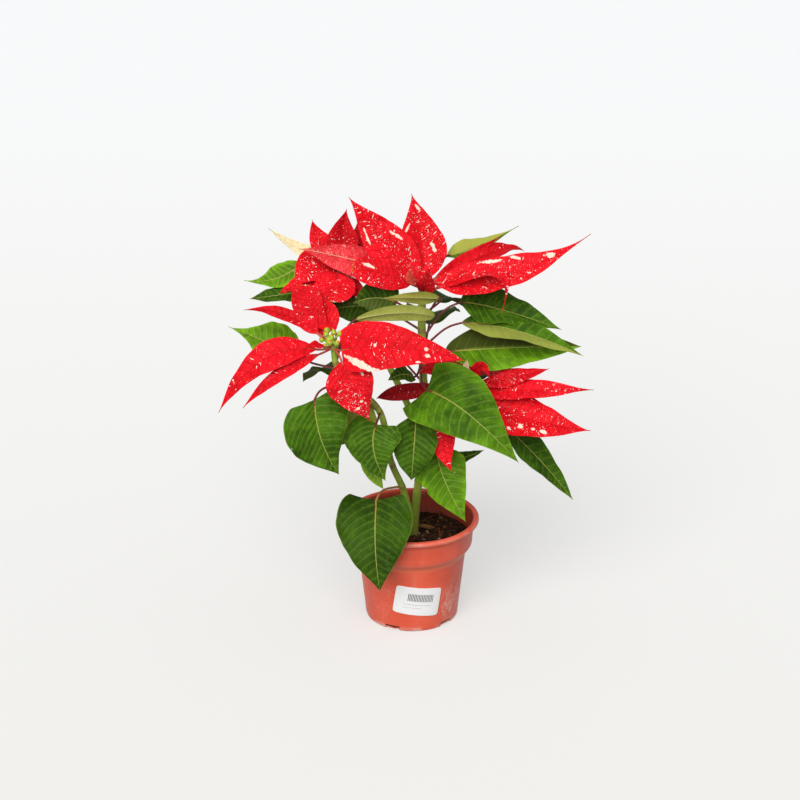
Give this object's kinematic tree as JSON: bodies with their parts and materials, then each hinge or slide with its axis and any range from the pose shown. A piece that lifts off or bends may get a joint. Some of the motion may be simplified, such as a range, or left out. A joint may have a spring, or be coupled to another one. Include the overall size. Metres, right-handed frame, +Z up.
{
  "type": "potted poinsettia",
  "caption": "Flowering poinsettia with speckled red bracts, green leaves and bud clusters, in a small tapered plastic nursery pot of soil with a blank sticker.",
  "frame": {"origin": "centre of the pot's flat underside, on the surface it stands on", "axes": "+Z up along the pot's axis, +X to the right and +Y away from the viewer who faces the sticker"},
  "size_m": [0.3169, 0.2118, 0.3826],
  "materials": {
    "pot_plastic": "scuffed terracotta-coloured plastic, satin",
    "soil": "dark crumbly peat and soil",
    "sticker": "white paper sticker with plain printed bars",
    "leaf_green": "leaf, satin, with pale veins",
    "bract_red": "red bract with cream flecks, satin",
    "bud_green": "waxy yellow-green bud"
  },
  "bodies": {
    "root": {"pot": "pot_plastic", "soil": "soil", "label": "sticker", "stem_top": "leaf_green", "stem_left": "leaf_green", "stem_right": "leaf_green", "stem_rear": "leaf_green", "bracts_top": "bract_red", "bracts_rear": "bract_red", "bracts_left": "bract_red", "bracts_right": "bract_red", "buds_top": "bud_green", "buds_rear": "bud_green", "buds_left": "bud_green", "buds_right": "bud_green"}
  },
  "joints": []
}
